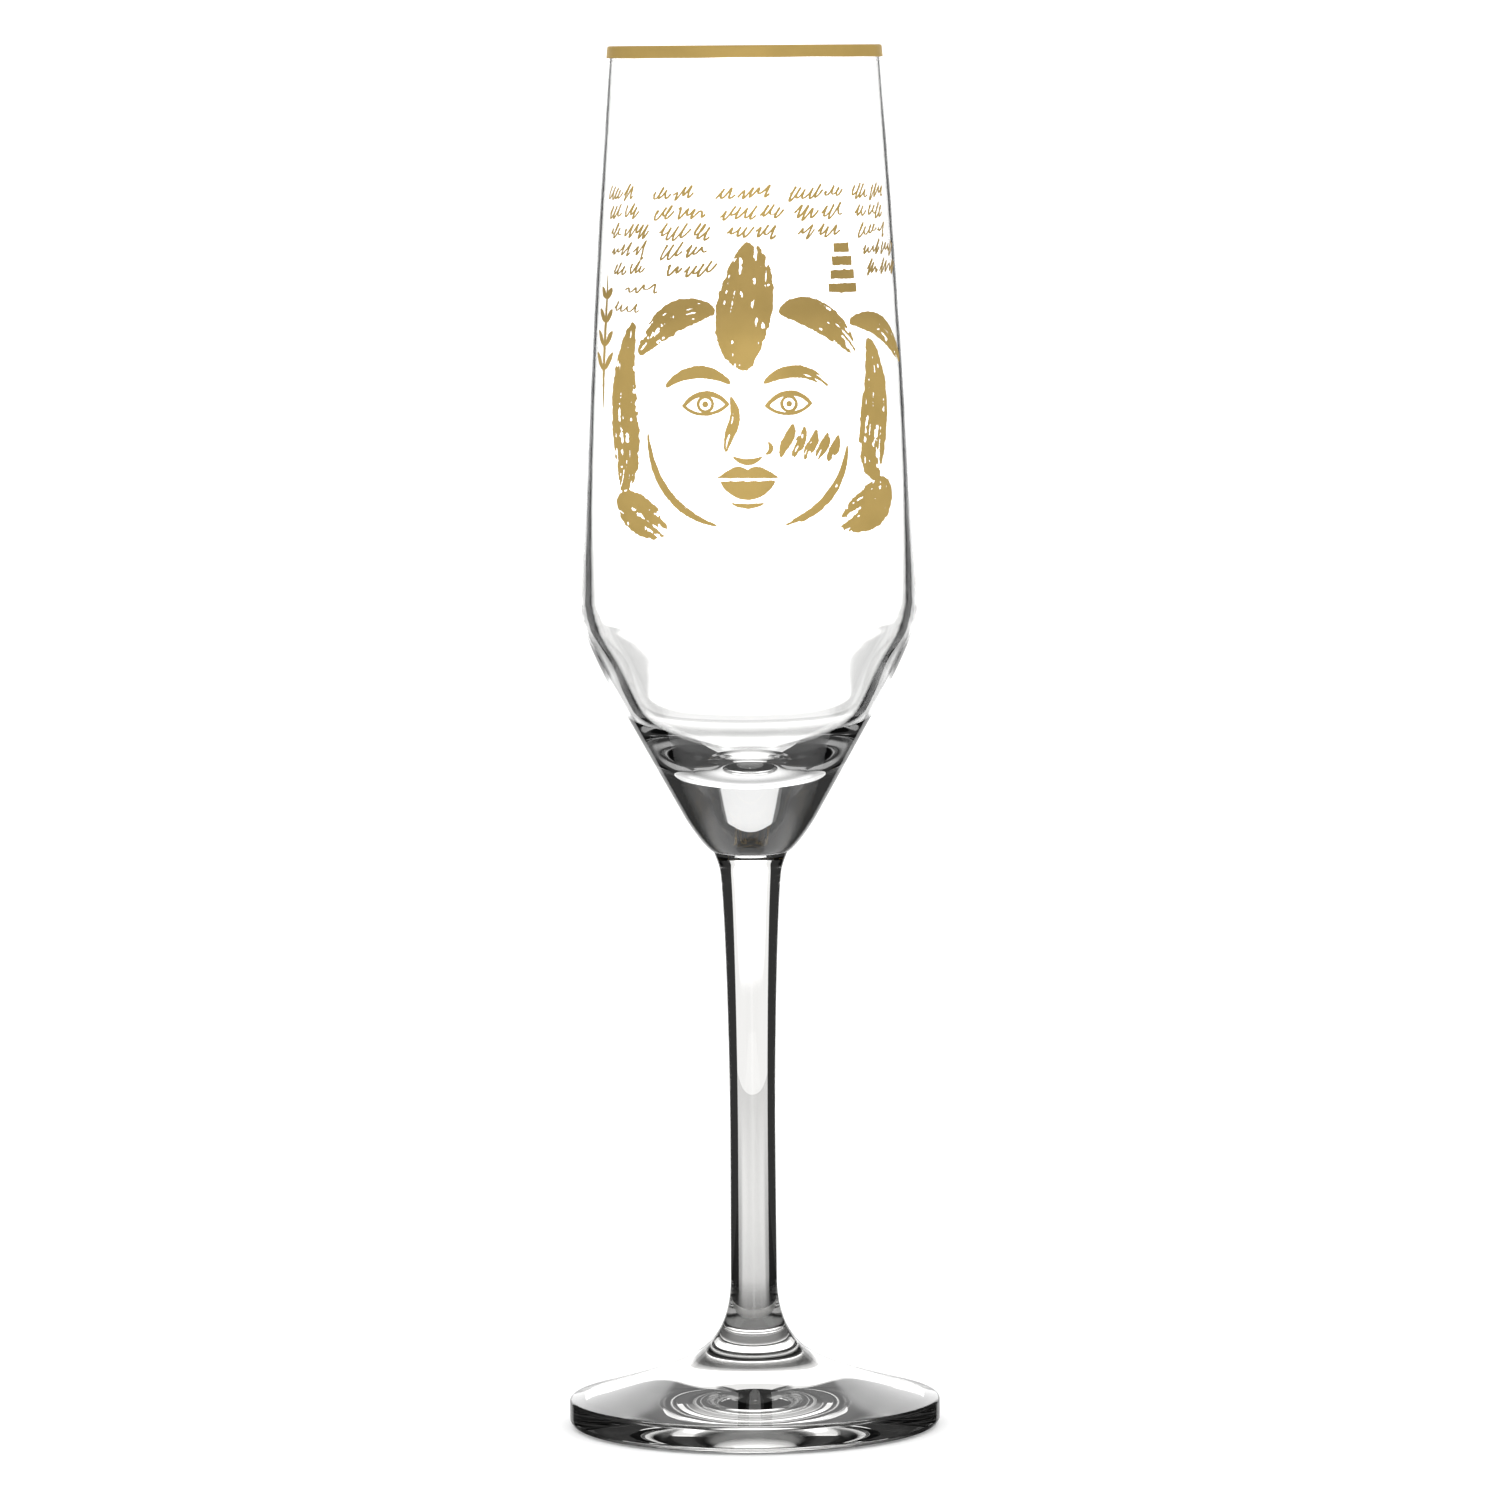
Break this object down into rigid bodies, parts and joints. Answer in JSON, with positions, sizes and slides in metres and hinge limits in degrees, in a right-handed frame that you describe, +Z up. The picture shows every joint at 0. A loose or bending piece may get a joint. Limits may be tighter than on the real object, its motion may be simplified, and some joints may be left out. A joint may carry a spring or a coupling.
{
  "type": "champagne flute",
  "caption": "Tall champagne flute with a tapered glass bowl over a thick solid base, a slim stem, a round foot, a gilded rim and a gold print on the front.",
  "frame": {"origin": "centre of the foot's underside, on the surface that the flute stands on", "axes": "+Z up along the flute's axis, -Y the printed front, +X to the right seen from the front"},
  "size_m": [0.062, 0.062, 0.23],
  "materials": {
    "bowl_glass": "clear fire-polished crystal glass",
    "stem_glass": "clear drawn crystal glass",
    "foot_glass": "clear pressed and fire-polished crystal glass",
    "rim_gold": "fired bright gold, satin",
    "print_gold": "fired matt gold print"
  },
  "bodies": {
    "root": {"bowl": "bowl_glass", "stem": "stem_glass", "foot": "foot_glass", "rim_gilding": "rim_gold", "print_pen_lines": "print_gold", "print_forehead_leaf": "print_gold", "print_fringe": "print_gold", "print_brows": "print_gold", "print_eyes": "print_gold", "print_nose": "print_gold", "print_lips": "print_gold", "print_cheek_shade": "print_gold", "print_jaw": "print_gold", "print_hair_left": "print_gold", "print_hair_right": "print_gold", "print_sprig": "print_gold", "print_bars": "print_gold", "print_sweep": "print_gold"}
  },
  "joints": []
}
